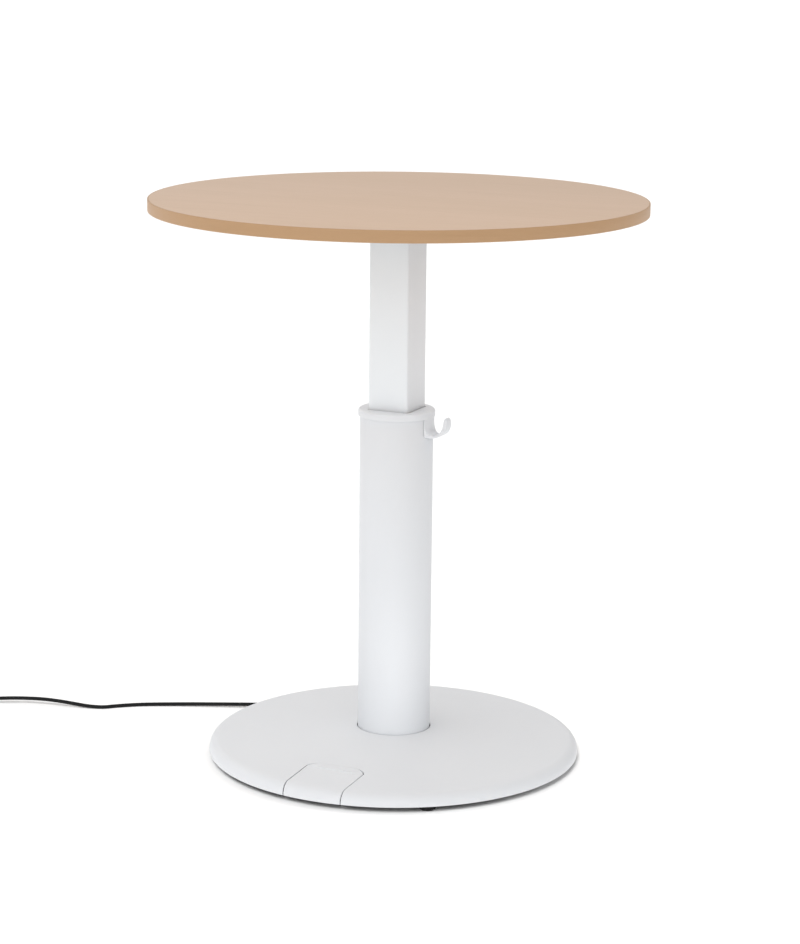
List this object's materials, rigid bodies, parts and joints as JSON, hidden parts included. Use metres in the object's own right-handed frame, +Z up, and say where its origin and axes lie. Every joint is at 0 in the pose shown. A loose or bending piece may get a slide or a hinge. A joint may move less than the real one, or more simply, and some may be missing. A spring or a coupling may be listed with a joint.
{
  "type": "height-adjustable table",
  "caption": "Round sit-stand table on a motorised telescopic column, with a domed round base, a rocking foot pedal in its rim, a bag hook and a mains lead.",
  "frame": {"origin": "on the floor, on the column's axis", "axes": "+Z up along the column, -Y towards the foot pedal, +X towards the bag hook"},
  "size_m": [1.132, 0.75, 0.87],
  "materials": {
    "white_powder_coat": "fine matt powder coat",
    "white_plastic": "moulded, satin",
    "wood_face": "fine straight grain, matt",
    "wood_edge": "fine straight grain, matt",
    "particle_board": "raw board under a balancing foil",
    "zinc_plated_steel": "bright zinc plate",
    "black_steel": "black coat",
    "black_rubber": "matt",
    "black_pvc": "satin jacket",
    "black_plastic": "moulded, satin",
    "natural_acetal": "smooth",
    "circuit_board": "solder mask",
    "contact_brass": "machined"
  },
  "bodies": {
    "base": {"base_cover": "white_powder_coat", "outer_tube": "white_powder_coat", "collar": "white_plastic", "foot_screw_1": "zinc_plated_steel", "foot_screw_2": "zinc_plated_steel", "foot_screw_3": "zinc_plated_steel", "foot_screw_4": "zinc_plated_steel", "foot_screw_5": "zinc_plated_steel", "flange_bolt_1": "zinc_plated_steel", "flange_bolt_2": "zinc_plated_steel", "flange_bolt_3": "zinc_plated_steel", "flange_bolt_4": "zinc_plated_steel", "thrust_bearing": "zinc_plated_steel", "lift_motor": "zinc_plated_steel", "pedal_bracket": "zinc_plated_steel", "pedal_pin": "zinc_plated_steel", "pedal_spring_left": "zinc_plated_steel", "pedal_spring_right": "zinc_plated_steel", "base_plate": "black_steel", "column_flange": "black_steel", "motor_mount": "black_steel", "planetary_gearbox": "black_steel", "foot_1": "black_rubber", "foot_2": "black_rubber", "foot_3": "black_rubber", "foot_4": "black_rubber", "foot_5": "black_rubber", "mains_cord": "black_pvc", "cord_coil": "black_pvc", "strain_relief": "black_pvc", "mains_lead_inside": "black_pvc", "motor_lead": "black_pvc", "switch_lead": "black_pvc", "cord_gland": "black_plastic", "cord_tie": "black_plastic", "plug": "black_plastic", "guide_bush": "black_plastic", "control_tray": "black_plastic", "control_lid": "black_plastic", "switch_up": "black_plastic", "switch_down": "black_plastic", "glide_pad_front": "natural_acetal", "glide_pad_rear": "natural_acetal", "glide_pad_left": "natural_acetal", "glide_pad_right": "natural_acetal", "control_board": "circuit_board"},
    "lift": {"inner_tube": "white_powder_coat", "lift_nut": "contact_brass", "nut_carrier": "black_steel", "lower_guide": "black_plastic", "top_plate": "black_steel", "tabletop_core": "particle_board", "tabletop_face": "wood_face", "edge_band": "wood_edge", "top_screw_1": "zinc_plated_steel", "top_screw_2": "zinc_plated_steel", "top_screw_3": "zinc_plated_steel", "top_screw_4": "zinc_plated_steel"},
    "screw": {"lead_screw": "zinc_plated_steel"},
    "pedal": {"pedal": "white_powder_coat"}
  },
  "joints": [
    {"name": "lift", "type": "slide", "parent": "base", "child": "lift", "axis": [0, 0, 1], "range_m": [-0.17, 0.22]},
    {"name": "screw_spin", "type": "hinge", "parent": "base", "child": "screw", "pos_m": [0, 0, 0.2], "axis": [0, 0, 1], "range_deg": [-4960, 3840]},
    {"name": "pedal", "type": "hinge", "parent": "base", "child": "pedal", "pos_m": [0, -0.214, 0.027], "axis": [1, 0, 0], "range_deg": [-2.5, 2.5], "stiffness_Nm_per_rad": 12, "deforming": ["pedal_spring_left", "pedal_spring_right"]}
  ],
  "couplings": [
    {"joint": "screw_spin", "follows": "lift", "rad_per_m": -392.7}
  ]
}
